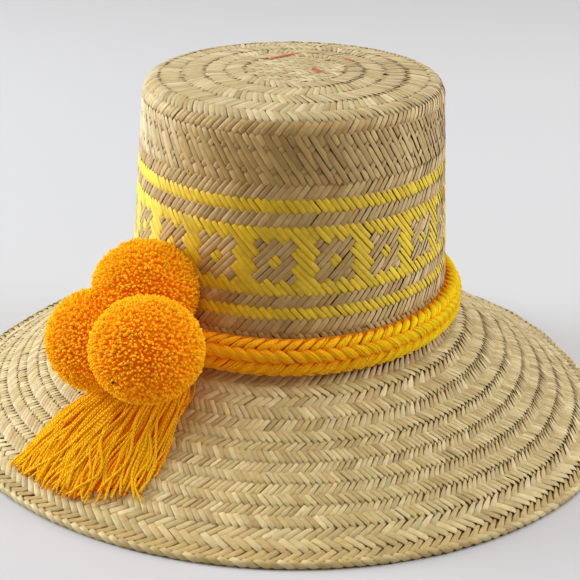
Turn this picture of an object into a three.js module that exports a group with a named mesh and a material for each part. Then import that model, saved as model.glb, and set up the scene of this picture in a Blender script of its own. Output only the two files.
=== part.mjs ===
// Woven palm-straw sun hat: one plaited shell of crown and brim, a yarn band
// round the foot of the crown, three pompoms and a tassel at its front left.
// Millimetres, +Z up. The hat rests on its rim at z = 0. The front of the hat
// looks along -Y, and azimuths are degrees from the front, positive towards +X.
import * as THREE from 'three';

// ---- driving sizes -------------------------------------------------------
const WALL = 2.0;              // plaited straw, two layers
const CROWN_HALF_W = 88;       // outside of the crown's oval at its foot, across
const CROWN_HALF_D = 102.3;    // outside of the crown's oval at its foot, front to back
const TOP_HALF_W = 80;         // outside of the crown's oval under the rounded top edge
const CROWN_TOP_Z = 186.95;    // where the rounded top edge ends
const TOP_DOME = 3.0;          // the top swells this much in its middle
const SHOULDER_R = 8;          // rounding between crown side and top
const CROWN_X = 1.56;          // the crown stands this much to the right of the rim's middle
const CROWN_Y = 0.29;
const JOIN_Z = 56;             // where crown side and brim would meet sharply
const JOIN_R = 8;              // rounding between crown side and brim
const RIM_HALF_W = 188.2;      // outside of the rim, across
const RIM_HALF_D = 189.8;      // outside of the rim, front to back
const RIM_EDGE = 1.4;          // height of the rim's outer edge
const RIM_FLAT = 4.0;          // width of the flat ring that the hat rests on
const SEGMENTS = 64;           // steps round the hat

const BAND_LOW_Z = 57.8, BAND_HIGH_Z = 80.2;   // yarn band round the crown
const BAND_THICK = 8.4, BAND_GAP = 0.7;
const SOFT_GAP = 0.5;          // clear gap kept round pompoms and tassel

const REACH = RIM_HALF_W - CROWN_HALF_W;       // the brim's width in plan
const TAPER = (CROWN_HALF_W - TOP_HALF_W) / (CROWN_TOP_Z - SHOULDER_R - JOIN_Z);
const deg = Math.PI / 180;

// ---- outline of the rim: how far it leaves its oval ------------------------
// azimuth: degrees from the front; out: mm added to the rim's half widths
const RIM_TABLE = [
  { azimuth: -180, out: 3 },
  { azimuth: -150, out: 4 },
  { azimuth: -122, out: 4 },
  { azimuth: -104, out: -0.5 },
  { azimuth: 64, out: 0.3 },
  { azimuth: 84, out: -4.5 },
  { azimuth: 104, out: -7.2 },
  { azimuth: 118, out: -6.6 },
  { azimuth: 130, out: -2.1 },
  { azimuth: 140, out: 2.0 },
  { azimuth: 151, out: 4.8 },
  { azimuth: 163, out: 4.8 },
  { azimuth: 180, out: 3 },
];

// ---- brim height from the crown's foot (along = 0) to the rim (along = 1) ----
const BRIM_TABLE = [
  { along: 0.00, z: JOIN_Z },
  { along: 0.25, z: 42.2 },
  { along: 0.50, z: 28.5 },
  { along: 0.75, z: 14.9 },
  { along: 1.00, z: RIM_EDGE },
];

// ---- pompoms: centres and radii ---------------------------------------------
const POMPOMS = [
  { name: 'pompom_front', x: -42.6, y: -134.0, z: 79.1, rx: 28.1, rz: 26.2 },
  { name: 'pompom_top', x: -53.5, y: -98.3, z: 95.0, rx: 27.3, rz: 25.6 },
  { name: 'pompom_left', x: -75.8, y: -110.6, z: 70.4, rx: 25.8, rz: 26.5 },
];

// ---- tassel: a fan of yarn lying on the brim ---------------------------------
// along: part of the way down the fan; left, right: azimuths of its sides;
// thick: how thick the yarn lies there
const TASSEL_TABLE = [
  { along: 0.00, left: -29.0, right: -16.5, thick: 13 },
  { along: 0.15, left: -35.0, right: -14.8, thick: 12.5 },
  { along: 0.30, left: -39.0, right: -14.4, thick: 11.5 },
  { along: 0.46, left: -40.6, right: -13.9, thick: 10 },
  { along: 0.62, left: -41.7, right: -13.4, thick: 8 },
  { along: 0.80, left: -40.9, right: -13.0, thick: 6.5 },
  { along: 1.00, left: -39.8, right: -12.6, thick: 4.5 },
];
// across: left to right of the fan's tip; brim: how far down the brim it ends
const TASSEL_TIP_TABLE = [
  { across: 0.00, brim: 0.88 },
  { across: 0.14, brim: 0.912 },
  { across: 0.50, brim: 0.912 },
  { across: 0.65, brim: 0.885 },
  { across: 0.81, brim: 0.81 },
  { across: 0.90, brim: 0.735 },
  { across: 1.00, brim: 0.65 },
];
const TASSEL_HEAD_BRIM = 0.13;  // where on the brim the fan starts

// ---- helpers -------------------------------------------------------------------
// value of a column at a place in a table, eased between its rows
function lookUp(table, key, column, at, smooth = true) {
  if (at <= table[0][key]) return table[0][column];
  for (let i = 1; i < table.length; i++) {
    const a = table[i - 1], b = table[i];
    if (at <= b[key]) {
      let s = (at - a[key]) / (b[key] - a[key]);
      if (smooth) s = s * s * (3 - 2 * s);
      return a[column] + (b[column] - a[column]) * s;
    }
  }
  return table[table.length - 1][column];
}

// a point of the hat: azimuth round it, out = mm outside the crown's side
// (negative over the top), and height
function place(azimuth, out, z) {
  const s = Math.sin(azimuth * deg), c = Math.cos(azimuth * deg);
  if (out <= 0) {
    const k = (CROWN_HALF_W + out) / CROWN_HALF_W;
    return new THREE.Vector3(CROWN_X + CROWN_HALF_W * k * s, CROWN_Y - CROWN_HALF_D * k * c, z);
  }
  const t = out / REACH;
  const dent = lookUp(RIM_TABLE, 'azimuth', 'out', azimuth) * t * t;
  const w = CROWN_HALF_W + out + dent;
  const d = CROWN_HALF_D + (RIM_HALF_D - CROWN_HALF_D) * t + dent;
  return new THREE.Vector3(CROWN_X * (1 - t) + w * s, CROWN_Y * (1 - t) - d * c, z);
}

// how far the crown's side stands inside its foot at a height
const lean = (z) => -TAPER * Math.max(0, z - JOIN_Z);

const brimZ = (t) => lookUp(BRIM_TABLE, 'along', 'z', t, false);
const brimSlope = (t) => (brimZ(t + 0.05) - brimZ(t - 0.05)) / (0.1 * REACH);

// a point over the brim: azimuth, how far down the brim, and height off its face
function overBrim(azimuth, t, lift) {
  const slope = Math.atan(brimSlope(Math.min(0.95, Math.max(0.05, t))));
  return place(azimuth, t * REACH - lift * Math.sin(slope), brimZ(t) + lift * Math.cos(slope));
}

// makes every face look outwards
function facingOut(geometry) {
  const g = geometry.index ? geometry.toNonIndexed() : geometry;
  const p = g.attributes.position;
  const a = new THREE.Vector3(), b = new THREE.Vector3(), c = new THREE.Vector3();
  let volume = 0;
  for (let i = 0; i < p.count; i += 3) {
    a.fromBufferAttribute(p, i); b.fromBufferAttribute(p, i + 1); c.fromBufferAttribute(p, i + 2);
    volume += a.dot(b.cross(c)) / 6;
  }
  if (volume < 0) {
    for (let i = 0; i < p.count; i += 3) {
      const x = p.getX(i + 1), y = p.getY(i + 1), z = p.getZ(i + 1);
      p.setXYZ(i + 1, p.getX(i + 2), p.getY(i + 2), p.getZ(i + 2));
      p.setXYZ(i + 2, x, y, z);
    }
  }
  g.deleteAttribute('normal');
  g.deleteAttribute('uv');
  g.computeVertexNormals();
  return g;
}

// turns a lathe of (half width + out, z) into the hat's oval form
function ovalLathe(profile) {
  const g = new THREE.LatheGeometry(profile, SEGMENTS);
  const p = g.attributes.position;
  for (let i = 0; i < p.count; i++) {
    const x = p.getX(i), y = p.getY(i), z = p.getZ(i);
    const r = Math.hypot(x, z);
    const azimuth = r < 1e-6 ? 0 : Math.round(Math.atan2(x, z) / deg * 1e4) / 1e4;
    const q = place(azimuth <= -180 ? 180 : azimuth, Math.round((r - CROWN_HALF_W) * 1e4) / 1e4, y);
    p.setXYZ(i, q.x, q.y, q.z);
  }
  return facingOut(g);
}

// ---- crown and brim: one shell ---------------------------------------------------
function shellProfile() {
  const slope = Math.atan((JOIN_Z - BRIM_TABLE[1].z) / (BRIM_TABLE[1].along * REACH));
  const turn = Math.PI / 2 - slope;                 // from straight down to the brim
  const start = JOIN_Z + JOIN_R * Math.tan(turn / 2);
  const outer = [];
  const flat = TOP_HALF_W - SHOULDER_R;
  for (const s of [0, 0.22, 0.44, 0.66, 0.84]) {
    outer.push([s * flat - CROWN_HALF_W, CROWN_TOP_Z + TOP_DOME * (1 - s * s)]);
  }
  const shoulder = lean(CROWN_TOP_Z - SHOULDER_R) - SHOULDER_R;
  for (let i = 0; i <= 5; i++) {
    const a = (90 - 18 * i) * deg;
    outer.push([shoulder + SHOULDER_R * Math.cos(a), CROWN_TOP_Z - SHOULDER_R + SHOULDER_R * Math.sin(a)]);
  }
  for (const z of [150, 115, 82]) outer.push([lean(z), z]);
  for (let i = 0; i <= 4; i++) {
    const a = turn * i / 4, z = start - JOIN_R * Math.sin(a);
    outer.push([JOIN_R - JOIN_R * Math.cos(a) + lean(z), z]);
  }
  for (const row of BRIM_TABLE.slice(1, -1)) outer.push([row.along * REACH, row.z]);
  outer.push([REACH, RIM_EDGE]);
  const inner = [];
  for (let i = 0; i < outer.length - 1; i++) {
    const a = outer[Math.max(0, i - 1)], b = outer[i + 1];
    let tx = b[0] - a[0], tz = b[1] - a[1];
    if (i === 0) { tx = 1; tz = 0; }
    const n = Math.hypot(tx, tz);
    inner.push([outer[i][0] + WALL * tz / n, outer[i][1] - WALL * tx / n]);
  }
  inner[0][0] = -CROWN_HALF_W;
  const rimSlope = -brimSlope(0.9);
  const drop = WALL * Math.hypot(1, rimSlope);      // the wall's height where it is cut
  const insideOut = REACH - RIM_FLAT - 1.0;
  inner.push([insideOut, RIM_EDGE + (REACH - insideOut) * rimSlope - drop]);
  const profile = [...outer, [REACH, 0], [REACH - RIM_FLAT, 0], ...inner.reverse()];
  return profile.map(([out, z]) => new THREE.Vector2(Math.max(0, CROWN_HALF_W + out), z));
}

// ---- band: a flat braid's outer form -----------------------------------------------
function bandProfile() {
  const mid = (BAND_LOW_Z + BAND_HIGH_Z) / 2, half = (BAND_HIGH_Z - BAND_LOW_Z) / 2;
  const points = [];
  const corners = 10;
  for (let i = 0; i <= corners; i++) {
    const a = 2 * Math.PI * (i % corners) / corners;
    const ca = Math.cos(a), sa = Math.sin(a);
    const x = Math.sign(ca) * Math.abs(ca) ** 0.62, z = Math.sign(sa) * Math.abs(sa) ** 0.62;
    const at = mid + half * z;
    points.push(new THREE.Vector2(CROWN_HALF_W + lean(at) + BAND_GAP + BAND_THICK / 2 * (1 + x), at));
  }
  return points;
}

// ---- tassel ------------------------------------------------------------------------
function tasselPlace(across, along) {
  const tip = lookUp(TASSEL_TIP_TABLE, 'across', 'brim', across, false);
  const left = lookUp(TASSEL_TABLE, 'along', 'left', along, false);
  const right = lookUp(TASSEL_TABLE, 'along', 'right', along, false);
  return { azimuth: left + (right - left) * across, brim: TASSEL_HEAD_BRIM + (tip - TASSEL_HEAD_BRIM) * along };
}
function tasselThick(across, along) {
  const side = Math.sqrt(Math.max(0, 1 - (2 * across - 1) ** 2));
  return lookUp(TASSEL_TABLE, 'along', 'thick', along, false) * (0.3 + 0.7 * side);
}
function tassel() {
  const g = new THREE.BoxGeometry(1, 1, 1, 10, 14, 1);
  const p = g.attributes.position;
  for (let i = 0; i < p.count; i++) {
    const across = p.getX(i) + 0.5, along = p.getY(i) + 0.5, top = p.getZ(i) > 0;
    const at = tasselPlace(across, along);
    const q = overBrim(at.azimuth, at.brim, 0.9 + (top ? tasselThick(across, along) : 0));
    p.setXYZ(i, q.x, q.y, q.z);
  }
  return facingOut(g);
}

// ---- pompoms: balls of yarn, pressed flat where they meet something -------------------
// how much room a point has to the crown, the band, the brim and the tassel
function room(point) {
  const { x, y, z } = point;
  const cx = x - CROWN_X, cy = y - CROWN_Y;
  const k = Math.hypot(cx / CROWN_HALF_W, cy / CROWN_HALF_D);
  const out = (k - 1) * Math.hypot(cx, cy) / k * 0.96 - lean(z);
  let least = out - SOFT_GAP;
  if (z < BAND_HIGH_Z + 1) least = Math.min(least, out - BAND_GAP - BAND_THICK - SOFT_GAP);
  // how far down the brim the point stands, by its oval
  let low = 0, high = 1;
  for (let i = 0; i < 30; i++) {
    const t = (low + high) / 2;
    const w = CROWN_HALF_W + REACH * t, d = CROWN_HALF_D + (RIM_HALF_D - CROWN_HALF_D) * t;
    if (Math.hypot((x - CROWN_X * (1 - t)) / w, (y - CROWN_Y * (1 - t)) / d) > 1) low = t; else high = t;
  }
  const t = (low + high) / 2;
  const w = CROWN_HALF_W + REACH * t, d = CROWN_HALF_D + (RIM_HALF_D - CROWN_HALF_D) * t;
  const azimuth = Math.atan2((x - CROWN_X * (1 - t)) / w, -(y - CROWN_Y * (1 - t)) / d) / deg;
  const slope = Math.atan(brimSlope(Math.min(0.95, Math.max(0.05, t))));
  const lift = (z - brimZ(t)) * Math.cos(slope);
  const foot = t - lift * Math.sin(slope) / REACH;    // straight below the point's face
  let need = SOFT_GAP;
  for (let i = 0; i <= 20; i++) {
    for (let j = 0; j <= 20; j++) {
      const at = tasselPlace(i / 20, j / 20);
      const near = Math.abs(at.azimuth - azimuth) * deg * w < 4.5 && Math.abs(at.brim - foot) * REACH < 4.5;
      if (near) need = Math.max(need, 0.9 + tasselThick(i / 20, j / 20) + SOFT_GAP);
    }
  }
  return Math.min(least, lift - need);
}
function pompom(row) {
  const g = new THREE.IcosahedronGeometry(1, 4);
  const p = g.attributes.position;
  const centre = new THREE.Vector3(row.x, row.y, row.z);
  const reachOf = new Map();
  for (let i = 0; i < p.count; i++) {
    const dir = new THREE.Vector3(p.getX(i), p.getY(i), p.getZ(i)).normalize();
    const key = [dir.x, dir.y, dir.z].map((v) => v.toFixed(4)).join();
    if (!reachOf.has(key)) {
      let reach = 1 / Math.hypot(dir.x / row.rx, dir.y / row.rx, dir.z / row.rz);
      for (const other of POMPOMS) {                  // half way to each neighbour
        if (other === row) continue;
        const to = new THREE.Vector3(other.x, other.y, other.z).sub(centre);
        const cos = dir.dot(to) / to.length();
        if (cos > 0.05) reach = Math.min(reach, (to.length() / 2 - SOFT_GAP / 2) / cos);
      }
      let low = 0, high = reach;
      if (room(centre.clone().addScaledVector(dir, reach)) < 0) {
        for (let n = 0; n < 18; n++) {
          const mid = (low + high) / 2;
          if (room(centre.clone().addScaledVector(dir, mid)) < 0) high = mid; else low = mid;
        }
        reach = low;
      }
      reachOf.set(key, centre.clone().addScaledVector(dir, reach));
    }
    const q = reachOf.get(key);
    p.setXYZ(i, q.x, q.y, q.z);
  }
  return facingOut(g);
}

// ---- the scene ----------------------------------------------------------------------
const straw = () => new THREE.MeshStandardMaterial({ color: 0xc9ab6f, roughness: 0.62, metalness: 0 });
const bandYarn = () => new THREE.MeshStandardMaterial({ color: 0xf0a512, roughness: 0.85, metalness: 0 });
const pompomYarn = () => new THREE.MeshStandardMaterial({ color: 0xf79a12, roughness: 0.95, metalness: 0 });
const tasselYarn = () => new THREE.MeshStandardMaterial({ color: 0xf2a815, roughness: 0.85, metalness: 0 });

const group = new THREE.Group();
function add(name, geometry, material) {
  const mesh = new THREE.Mesh(geometry, material);
  mesh.name = name;
  group.add(mesh);
}
add('hat_body', ovalLathe(shellProfile()), straw());
add('hat_band', ovalLathe(bandProfile()), bandYarn());
for (const row of POMPOMS) add(row.name, pompom(row), pompomYarn());
add('tassel', tassel(), tasselYarn());

// the middle of the hat's outline stands on the origin
const middle = new THREE.Box3().setFromObject(group).getCenter(new THREE.Vector3());
for (const mesh of group.children) mesh.geometry.translate(-middle.x, -middle.y, 0);

export default group;
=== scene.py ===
"""Plaited palm-straw sun hat: the visible straw, yarn band, pompoms and tassel."""
import math
import bpy
import numpy as np
from mathutils import Matrix, Vector


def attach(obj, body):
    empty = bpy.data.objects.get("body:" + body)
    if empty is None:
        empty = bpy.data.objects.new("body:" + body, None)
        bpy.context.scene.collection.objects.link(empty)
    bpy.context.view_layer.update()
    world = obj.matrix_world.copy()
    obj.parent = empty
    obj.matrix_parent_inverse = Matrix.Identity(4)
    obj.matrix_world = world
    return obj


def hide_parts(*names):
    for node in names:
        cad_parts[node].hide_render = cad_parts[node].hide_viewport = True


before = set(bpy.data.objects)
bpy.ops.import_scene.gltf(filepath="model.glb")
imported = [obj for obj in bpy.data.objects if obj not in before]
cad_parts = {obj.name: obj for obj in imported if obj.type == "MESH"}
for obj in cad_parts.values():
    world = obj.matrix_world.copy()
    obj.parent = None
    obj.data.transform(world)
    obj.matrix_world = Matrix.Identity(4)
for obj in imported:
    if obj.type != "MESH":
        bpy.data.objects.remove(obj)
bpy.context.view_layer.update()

MM = 0.001
rng = np.random.default_rng(29)

# ---------------------------------------------------------------- the hat's form, in mm
W0, D0, WT, RATIO = 88.0, 102.3, 80.0, 102.3 / 88.0
TOP_Z, DOME, SHOULDER = 186.95, 3.0, 8.0
CROWN_X, CROWN_Y = 1.56, 0.29
JOIN_Z, JOIN_R = 56.0, 8.0
RIM_W, RIM_D, RIM_EDGE, WALL = 188.2, 189.8, 1.4, 2.0
REACH = RIM_W - W0
TAPER = (W0 - WT) / (TOP_Z - SHOULDER - JOIN_Z)
MID_X, MID_Y = -2.2995, 1.4799            # middle of the rim's outline
BAND_LOW, BAND_HIGH, BAND_THICK, BAND_GAP = 57.8, 80.2, 8.4, 0.7
RIM_TABLE = [(-180, 3), (-150, 4), (-122, 4), (-104, -0.5), (64, 0.3), (84, -4.5), (104, -7.2),
             (118, -6.6), (130, -2.1), (140, 2.0), (151, 4.8), (163, 4.8), (180, 3)]
BRIM_T = np.array([0.0, 0.25, 0.5, 0.75, 1.0])
BRIM_Z = np.array([56.0, 42.2, 28.5, 14.9, 1.4])


def rim_dent(az):
    az = (np.asarray(az, float) + 180.0) % 360.0 - 180.0
    out = np.zeros_like(az)
    for (a, p), (b, q) in zip(RIM_TABLE[:-1], RIM_TABLE[1:]):
        k = (az >= a) & (az <= b)
        s = (az[k] - a) / (b - a)
        out[k] = p + (q - p) * s * s * (3 - 2 * s)
    return out


def place(az, out, z):
    """Azimuth in degrees from the front, mm outside the crown's foot, height -> metres."""
    az, out, z = np.broadcast_arrays(np.asarray(az, float), np.asarray(out, float), np.asarray(z, float))
    s, c = np.sin(np.radians(az)), np.cos(np.radians(az))
    t = np.maximum(out, 0) / REACH
    dent = rim_dent(az) * t * t
    k = (W0 + out) / W0
    w = np.where(out <= 0, W0 * k, W0 + out + dent)
    d = np.where(out <= 0, D0 * k, D0 + (RIM_D - D0) * t + dent)
    x = CROWN_X * (1 - t) + w * s - MID_X
    y = CROWN_Y * (1 - t) - d * c - MID_Y
    return np.stack([x, y, z], -1) * MM


def lean(z):
    return -TAPER * np.maximum(0, np.asarray(z, float) - JOIN_Z)


def brim_z(t):
    return np.interp(t, BRIM_T, BRIM_Z)


# the outline from the middle of the top, down the side, over the brim and round the rim
def meridian():
    pts = []
    for s in np.linspace(0, 1, 60):
        pts.append((s * (WT - SHOULDER) - W0, TOP_Z + DOME * (1 - s * s)))
    sh = float(lean(TOP_Z - SHOULDER)) - SHOULDER
    for a in np.radians(np.linspace(85, 0, 18)):
        pts.append((sh + SHOULDER * math.cos(a), TOP_Z - SHOULDER + SHOULDER * math.sin(a)))
    slope = math.atan((56.0 - 42.2) / (0.25 * REACH))
    turn = math.pi / 2 - slope
    start = JOIN_Z + JOIN_R * math.tan(turn / 2)
    for z in np.linspace(TOP_Z - SHOULDER - 1, start + 1, 90):
        pts.append((float(lean(z)), z))
    for i in range(13):
        a = turn * i / 12
        z = start - JOIN_R * math.sin(a)
        pts.append((JOIN_R - JOIN_R * math.cos(a) + float(lean(z)), z))
    for t in np.linspace(0.12, 0.955, 80):
        pts.append((t * REACH, float(brim_z(t))))
    # the folded edge
    cx, cz, r = REACH - 1.9, 2.25, 1.75
    for a in np.radians(np.linspace(58, -95, 14)):
        pts.append((cx + r * math.cos(a), cz + r * math.sin(a)))
    p = np.array(pts)
    m = np.r_[0, np.cumsum(np.hypot(*np.diff(p, axis=0).T))]
    tan = np.gradient(p, m, axis=0)
    for _ in range(3):
        tan[1:-1] = 0.25 * tan[:-2] + 0.5 * tan[1:-1] + 0.25 * tan[2:]
    tan /= np.linalg.norm(tan, axis=1)[:, None]
    nor = np.stack([-tan[:, 1], tan[:, 0]], -1)
    nor[:, 0], nor[:, 1] = -tan[:, 1], tan[:, 0]
    return m, p, nor


PM, PP, PN = meridian()
I_SIDE = int(np.argmax(PP[:, 1] * (PP[:, 0] > -8.001)))          # first row of the straight side


def m_of_z(z):
    lo, hi = 60, 60 + 18 + 90 + 13
    return np.interp(-np.asarray(z, float), -PP[lo:hi, 1], PM[lo:hi])


def m_of_t(t):
    lo = 60 + 18 + 90 + 6
    hi = 60 + 18 + 90 + 13 + 80
    return np.interp(np.asarray(t, float) * REACH, PP[lo:hi, 0], PM[lo:hi])


def m_of_r(r):
    return np.interp(np.asarray(r, float) - W0, PP[:60, 0], PM[:60])


# azimuth from the share of the way round, by the oval's own length
_th = np.linspace(-180, 180, 1441)


def _round_table(w, d):
    c = np.hypot(w * np.cos(np.radians(_th)), d * np.sin(np.radians(_th)))
    s = np.r_[0, np.cumsum((c[1:] + c[:-1]) / 2 * np.radians(np.diff(_th)))]
    return (s - s[720]) / s[-1], s[-1]


TAB_CROWN, LEN_CROWN = _round_table(W0, D0)
TAB_RIM, LEN_RIM = _round_table(RIM_W, RIM_D)


def azimuth(u, t):
    u = (np.asarray(u, float) + 0.5) % 1.0 - 0.5
    t = np.clip(t, 0, 1)
    return np.interp(u, TAB_CROWN, _th) * (1 - t) + np.interp(u, TAB_RIM, _th) * t


def girth(m):
    """Length round the hat at a place of the outline, mm."""
    out = np.interp(m, PM, PP[:, 0])
    t = np.clip(out / REACH, 0, 1)
    return np.where(out <= 0, LEN_CROWN * (W0 + out) / W0, LEN_CROWN + (LEN_RIM - LEN_CROWN) * t)


def on_hat(u, m, lift):
    """Share of the way round, place on the outline, mm above the face -> metres."""
    out = np.interp(m, PM, PP[:, 0])
    z = np.interp(m, PM, PP[:, 1])
    no = np.interp(m, PM, PN[:, 0])
    nz = np.interp(m, PM, PN[:, 1])
    az = azimuth(u, out / REACH)
    return place(az, out + lift * no, z + lift * nz)


# ---------------------------------------------------------------- meshes from arrays
def new_mesh(name, verts, faces, mat, uv=None, col=None, smooth=True):
    """verts (n,3) metres; faces (f,4) or (f,3); uv (n,2) and col (n,4) per vertex."""
    me = bpy.data.meshes.new(name)
    verts = np.ascontiguousarray(verts, np.float32)
    faces = np.ascontiguousarray(faces, np.int32)
    n, k = faces.shape
    me.vertices.add(len(verts))
    me.vertices.foreach_set("co", verts.ravel())
    me.loops.add(n * k)
    me.loops.foreach_set("vertex_index", faces.ravel())
    me.polygons.add(n)
    me.polygons.foreach_set("loop_start", np.arange(0, n * k, k, dtype=np.int32))
    me.polygons.foreach_set("loop_total", np.full(n, k, np.int32))
    me.polygons.foreach_set("use_smooth", np.broadcast_to(smooth, n).astype(bool))
    if uv is not None:
        layer = me.uv_layers.new(name="UVMap")
        layer.data.foreach_set("uv", np.ascontiguousarray(uv[faces.ravel()], np.float32).ravel())
    if col is not None:
        a = me.color_attributes.new("Col", "FLOAT_COLOR", "POINT")
        a.data.foreach_set("color", np.ascontiguousarray(col, np.float32).ravel())
    me.update()
    me.validate()
    ob = bpy.data.objects.new(name, me)
    bpy.context.scene.collection.objects.link(ob)
    me.materials.append(mat)
    return ob


class Heap:
    """Gathers pieces of mesh that are joined into one object."""
    def __init__(self):
        self.v, self.f, self.uv, self.c, self.round, self.n = [], [], [], [], [], 0

    def grid(self, P, uv, col, close=False, flat=False):
        """P (n, a, b, 3): n sheets of a by b points; close joins the last b to the first;
        flat: the outer strips of each sheet are crisp, so that its middle looks flat."""
        n, a, b, _ = P.shape
        idx = np.arange(n * a * b).reshape(n, a, b) + self.n
        if close:
            idx = np.concatenate([idx, idx[:, :, :1]], 2)
        q = np.stack([idx[:, :-1, :-1], idx[:, 1:, :-1], idx[:, 1:, 1:], idx[:, :-1, 1:]], -1).reshape(-1, 4)
        self.v.append(P.reshape(-1, 3))
        self.f.append(q)
        cols = idx.shape[2] - 1
        soft = np.ones(cols, bool)
        if flat:
            soft[0] = soft[-1] = False
        self.round.append(np.tile(soft, n * (a - 1)))
        self.uv.append(np.broadcast_to(uv, (n, a, b, 2)).reshape(-1, 2))
        self.c.append(np.broadcast_to(col, (n, a, b, 4)).reshape(-1, 4))
        self.n += n * a * b

    def tris(self):
        return sum(len(f) for f in self.f) * 2

    def build(self, name, mat):
        return new_mesh(name, np.concatenate(self.v), np.concatenate(self.f), mat,
                        np.concatenate(self.uv), np.concatenate(self.c), np.concatenate(self.round))


def smooth01(x):
    x = np.clip(x, 0, 1)
    return x * x * (3 - 2 * x)


# ---------------------------------------------------------------- straw floats
ACROSS = np.array([-1.0, -0.80, 0.80, 1.0])
ROUND = np.array([-0.20, 0.05, 0.05, -0.20])
ACROSS_LOW = np.array([-1.0, 0.0, 1.0])
ROUND_LOW = np.array([-0.35, 0.2, -0.35])


def floats(heap, sign, strand, k0, k1, count, V, M, colour, segs, fill=0.99, most=9.0, rise=0.55,
           dive=-0.5, over=0.5, side=1, low=False, wob=1.0, taper=(0.0, 0.0), raised=0.0, dark=0.60,
           phase=0.0, rim=0.74, calm=0.0, bleach=None, reach=1.3, slim=0.0,
           ragged=0.0, fair=None, flatter=1.0):
    """Straw strips that lie over the crossings k0..k1 (levels) of a plait.
    sign: +1 strand runs to the right as it goes down, -1 to the left.
    calm: how much tighter the plait is at the front of the hat, and how much weaker the painted
    shade at the strips' ends and edges is there; bleach: how much paler the straw is painted at
    the sides, painted light of the side lamps; reach: levels over which an end tapers; slim: how much
    narrower strips are at the sides; fair: (first level, last level, tint) of rows whose
    straw is painted paler on the left, painted light of the left lamp; dark: painted shade at
    the ends, where strips dive under others; rim: painted shade along each strip's lower edge;
    flatter: less than 1 gives flatter strips."""
    n = len(strand)
    if n == 0:
        return
    where = ((strand + sign * (k0 + k1) / 4 + phase) / count + 0.5) % 1.0 - 0.5
    open_ = 1 - calm * (1 - smooth01((np.abs(where) - 0.02) / 0.15))
    # painted light: straw paler at the sides, most on strips whose slant catches the side lamps' light
    if bleach is not None:
        pale = smooth01((np.abs(where) - 0.05) / 0.13) + (
            0.9 * smooth01((-sign * where - 0.04) / 0.12) * (1 - smooth01((np.abs(where) - 0.32) / 0.16)))
        colour = colour * (1 + pale[:, None] * np.array(bleach))
    # painted light: these rows are paler on the left, where the left lamp lights them
    if fair is not None:
        there = smooth01((-where - 0.06) / 0.14) * (1 - smooth01((-where - 0.30) / 0.16))
        there = there * (((k0 + k1) / 2 >= fair[0]) & ((k0 + k1) / 2 <= fair[1]))
        colour = colour * (1 + there[:, None] * np.array(fair[2]))
    # the painted shade at strip ends and along lower edges weakens towards the front
    dark, rim = 1 - (1 - dark) * open_[:, None], 1 - (1 - rim) * open_
    taper = (taper[0] * open_[:, None], taper[1] * open_[:, None])
    tau = np.linspace(0, 1, segs + 1)
    a, b = k0 - 0.5 - over + ragged * rng.standard_normal(n), k1 + 0.5 + over + ragged * rng.standard_normal(n)
    v = a[:, None] + (b - a)[:, None] * tau                        # n, L
    m = np.interp(v, V, M)
    u = (strand[:, None] + sign * v / 2 + phase) / count
    g = girth(m)
    dv = 0.5
    mu = (np.interp(v + dv, V, M) - np.interp(v - dv, V, M)) / (2 * dv)   # mm down a level
    su = sign * g / count / 2                                           # mm sideways a level
    ln = np.hypot(mu, su)
    tu, tm = su / ln, mu / ln                                           # unit direction
    pu, pm = -tm, tu                                                    # unit across
    perp = g / count * np.abs(tm)                                       # spacing of the strands
    w = np.minimum(perp * fill, most) * (1 + 0.05 * wob * rng.standard_normal(n)
                                           - 0.07 * wob * rng.random(n) ** 3)[:, None]
    w = w * (1 - slim * smooth01((np.abs(where) - 0.03) / 0.12))[:, None]
    ds = v - (k0 - 0.5)[:, None]
    de = (k1 + 0.5)[:, None] - v
    soft = max(1.5 * over, 0.2)
    edge = smooth01((ds + over) / soft) * smooth01((de + over) / soft)
    length = (b - a)[:, None]
    bow = np.sin(np.pi * np.clip(tau, 0, 1))[None] * np.minimum(length / 4.0, 1.0)
    h = dive + (rise + raised - dive) * edge + 0.10 * bow
    h = h + 0.10 * wob * rng.standard_normal(n)[:, None]
    w = w * (1 - taper[0] * (1 - smooth01((ds + over) / reach)) - taper[1] * (1 - smooth01((de + over) / 1.3)))
    kap, rnd = (ACROSS_LOW, ROUND_LOW) if low else (ACROSS, ROUND)
    tilt = 0.10 * (side + wob * rng.standard_normal(n))
    off = kap[None, None] * w[..., None] / 2                            # n, L, K
    shift = 0.10 * wob * rng.standard_normal(n)[:, None, None]
    curve = 0.14 * wob * rng.standard_normal(n)[:, None, None] * np.sin(np.pi * tau)[None, :, None]
    off = off + shift + curve
    lift = h[..., None] + flatter * rnd[None, None] + tilt[:, None, None] * kap[None, None]
    U = u[..., None] + off * pu[..., None] / g[..., None]
    MM_ = m[..., None] + off * pm[..., None]
    if side > 0:
        P = on_hat(U, MM_, lift)
    else:
        P = on_hat(U, MM_, -(WALL + 0.1) - lift)
    uvx = np.broadcast_to((kap + 1) / 2, U.shape) + rng.integers(0, 997, n)[:, None, None]
    uvy = np.broadcast_to((tau[None] * length * 2.6)[..., None], U.shape) + rng.random(n)[:, None, None] * 300
    # painted shade: each strip darkens towards its ends, where it dives under the crossing strips
    shade = dark + (1 - dark) * smooth01((ds + over) / 0.8) * smooth01((de + over) / 0.8)
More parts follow.
